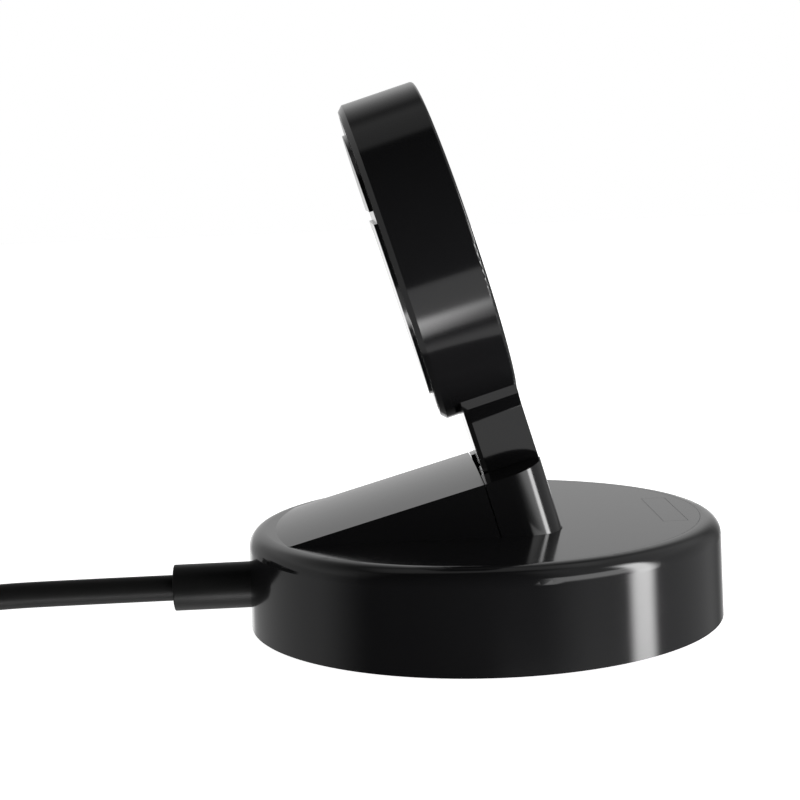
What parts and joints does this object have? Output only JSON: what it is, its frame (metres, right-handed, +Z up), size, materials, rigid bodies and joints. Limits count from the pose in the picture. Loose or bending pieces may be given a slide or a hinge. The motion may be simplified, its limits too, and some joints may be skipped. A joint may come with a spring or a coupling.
{
  "type": "smartwatch charging stand",
  "caption": "Weighted round base with a rear ramp and a tilting neck that holds a round magnetic charging head for a smartwatch, with a captive cable.",
  "frame": {"origin": "on the surface the stand rests on, under the centre of the round base", "axes": "+Z up, +X to the front that the watch faces, +Y to the left of someone standing behind the stand"},
  "size_m": [0.1267, 0.0712, 0.0577],
  "materials": {
    "gloss_black": "high gloss moulded polycarbonate",
    "gloss_black_cast": "gloss black lacquer on cast zinc",
    "window_tint": "smoke-tinted light window",
    "clear_guide": "frosted clear acrylic",
    "board_green": "green solder mask on glass epoxy",
    "lamp_white": "lamp packages",
    "matte_black": "fine textured black plastic",
    "black_rubber": "satin silicone rubber",
    "label_film": "blank polyester film",
    "screw_steel": "bright machine screw steel",
    "plated_steel": "nickel plated steel",
    "chip_black": "moulded epoxy package",
    "ferrite_grey": "sintered ferrite",
    "can_aluminium": "bare can",
    "nylon_white": "natural nylon",
    "cable_jacket": "satin elastomer jacket",
    "soft_face": "soft-touch silicone",
    "coil_copper": "enamelled copper litz wire",
    "magnet_nickel": "nickel plated magnet",
    "tie_strap": "woven hook and loop strap"
  },
  "bodies": {
    "base": {"base_housing": "gloss_black", "hinge_cover": "gloss_black", "top_plate": "gloss_black", "status_window": "window_tint", "light_guide": "clear_guide", "lamp_board": "board_green", "status_lamps": "lamp_white", "bottom_cover": "matte_black", "foot_ring": "black_rubber", "rating_label": "label_film", "bottom_cover_screws": "screw_steel", "ballast_weight": "plated_steel", "base_board": "board_green", "controller_chip": "chip_black", "power_inductor": "ferrite_grey", "capacitors": "can_aluminium", "base_socket": "nylon_white", "base_board_screws": "screw_steel", "hinge_bracket": "plated_steel", "hinge_bracket_screws": "screw_steel", "strain_relief": "black_rubber", "cable_tail": "cable_jacket", "cable_clamp": "matte_black", "base_lead": "cable_jacket", "usb_cable": "cable_jacket", "cable_coil": "cable_jacket", "cable_end": "cable_jacket", "cable_tie": "tie_strap", "plug_grip": "matte_black", "plug_shell": "plated_steel", "plug_tongue": "chip_black"},
    "head": {"neck": "gloss_black_cast", "neck_screws": "screw_steel", "hinge_pin_nut_side": "screw_steel", "hinge_pin_head_side": "screw_steel", "friction_washers": "nylon_white", "spring_washer": "screw_steel", "hinge_nut": "screw_steel", "head_lead": "cable_jacket", "head_shell": "gloss_black", "charging_face": "soft_face", "head_rear_cover": "gloss_black", "rear_cover_screws": "screw_steel", "rear_plate_upper": "gloss_black", "rear_plate_lower": "gloss_black", "ferrite_disc": "ferrite_grey", "charging_coil": "coil_copper", "centre_magnet": "magnet_nickel", "magnet_segments": "magnet_nickel", "head_board": "board_green", "head_socket": "nylon_white", "head_components": "chip_black"}
  },
  "joints": [
    {"name": "head_tilt", "type": "hinge", "parent": "base", "child": "head", "pos_m": [0.00368, 0, 0.01401], "axis": [0, 1, 0], "range_deg": [-6, 16]}
  ]
}
